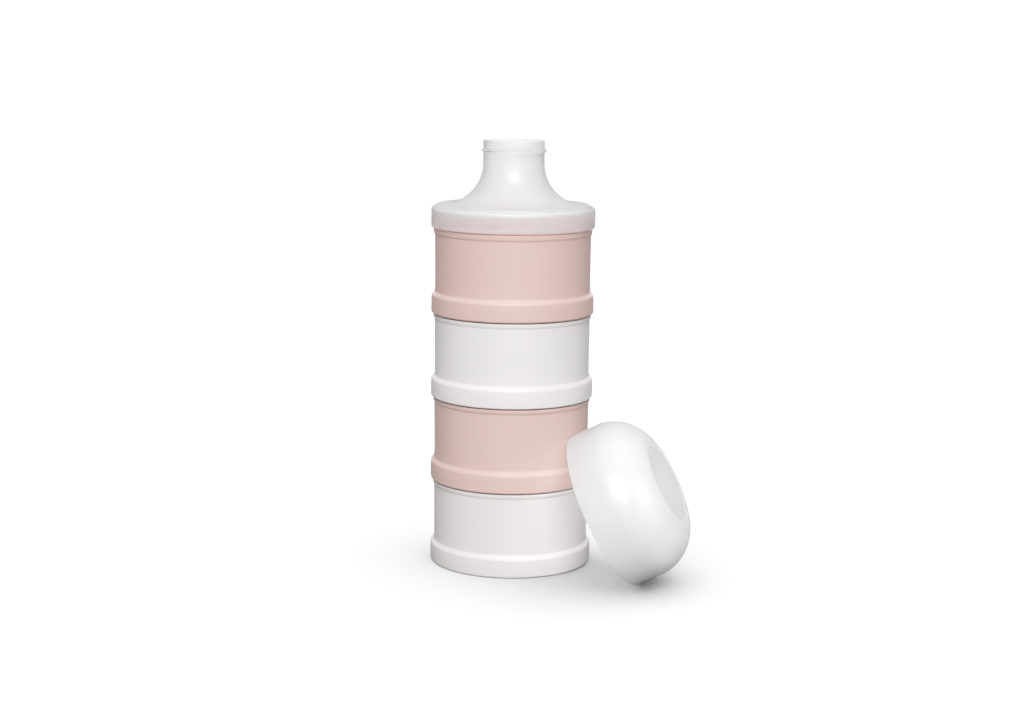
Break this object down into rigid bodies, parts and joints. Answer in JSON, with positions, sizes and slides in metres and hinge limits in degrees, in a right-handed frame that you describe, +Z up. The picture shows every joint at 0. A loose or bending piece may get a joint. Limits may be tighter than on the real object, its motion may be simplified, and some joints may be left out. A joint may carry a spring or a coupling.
{
  "type": "formula dispenser",
  "caption": "Stack of round screw-together cups for milk powder with a screw-on pouring funnel and a loose dome cap leaning beside it.",
  "frame": {"origin": "on the stack's axis at the bottom edge of the lowest cup's skirt, where the stack stands", "axes": "+Z up along the stack's axis towards the spout; +X to the side on which the cap leans, -Y to the front"},
  "size_m": [0.1273, 0.1196, 0.2091],
  "materials": {
    "ivory_plastic": "satin polypropylene, off-white",
    "blush_plastic": "satin polypropylene, pale blush pink",
    "white_plastic": "satin polypropylene, white",
    "frosted_plastic": "frosted translucent polypropylene",
    "seal_silicone": "matt translucent silicone"
  },
  "bodies": {
    "base_cup": {"cup_1": "ivory_plastic", "cup_1_seal": "seal_silicone"},
    "ring_cup_2": {"cup_2_seal": "seal_silicone"},
    "cup_2_body": {"cup_2": "blush_plastic"},
    "ring_cup_3": {"cup_3_seal": "seal_silicone"},
    "cup_3_body": {"cup_3": "white_plastic"},
    "ring_cup_4": {"cup_4_seal": "seal_silicone"},
    "cup_4_body": {"cup_4": "blush_plastic"},
    "ring_funnel": {"funnel_seal": "seal_silicone"},
    "funnel_body": {"funnel": "frosted_plastic"},
    "cap": {"dome_cap": "frosted_plastic"}
  },
  "joints": [
    {"name": "cup_2_lift", "type": "slide", "parent": "base_cup", "child": "ring_cup_2", "axis": [0, 0, 1], "range_m": [0, 0.006]},
    {"name": "cup_2_turn", "type": "hinge", "parent": "ring_cup_2", "child": "cup_2_body", "pos_m": [0, 0, 0.0415], "axis": [0, 0, 1], "range_deg": [0, 540]},
    {"name": "cup_3_lift", "type": "slide", "parent": "cup_2_body", "child": "ring_cup_3", "axis": [0, 0, 1], "range_m": [0, 0.006]},
    {"name": "cup_3_turn", "type": "hinge", "parent": "ring_cup_3", "child": "cup_3_body", "pos_m": [0, 0, 0.083], "axis": [0, 0, 1], "range_deg": [0, 540]},
    {"name": "cup_4_lift", "type": "slide", "parent": "cup_3_body", "child": "ring_cup_4", "axis": [0, 0, 1], "range_m": [0, 0.006]},
    {"name": "cup_4_turn", "type": "hinge", "parent": "ring_cup_4", "child": "cup_4_body", "pos_m": [0, 0, 0.1245], "axis": [0, 0, 1], "range_deg": [0, 540]},
    {"name": "funnel_lift", "type": "slide", "parent": "cup_4_body", "child": "ring_funnel", "axis": [0, 0, 1], "range_m": [0, 0.006]},
    {"name": "funnel_turn", "type": "hinge", "parent": "ring_funnel", "child": "funnel_body", "pos_m": [0, 0, 0.166], "axis": [0, 0, 1], "range_deg": [0, 540]},
    {"name": "cap_pick_up", "type": "slide", "parent": "base_cup", "child": "cap", "axis": [0.7194, -0.4496, 0.5295], "range_m": [0, 0.12]}
  ],
  "couplings": [
    {"joint": "cup_2_turn", "follows": "cup_2_lift", "rad_per_m": 1570.8},
    {"joint": "cup_3_turn", "follows": "cup_3_lift", "rad_per_m": 1570.8},
    {"joint": "cup_4_turn", "follows": "cup_4_lift", "rad_per_m": 1570.8},
    {"joint": "funnel_turn", "follows": "funnel_lift", "rad_per_m": 1570.8}
  ]
}
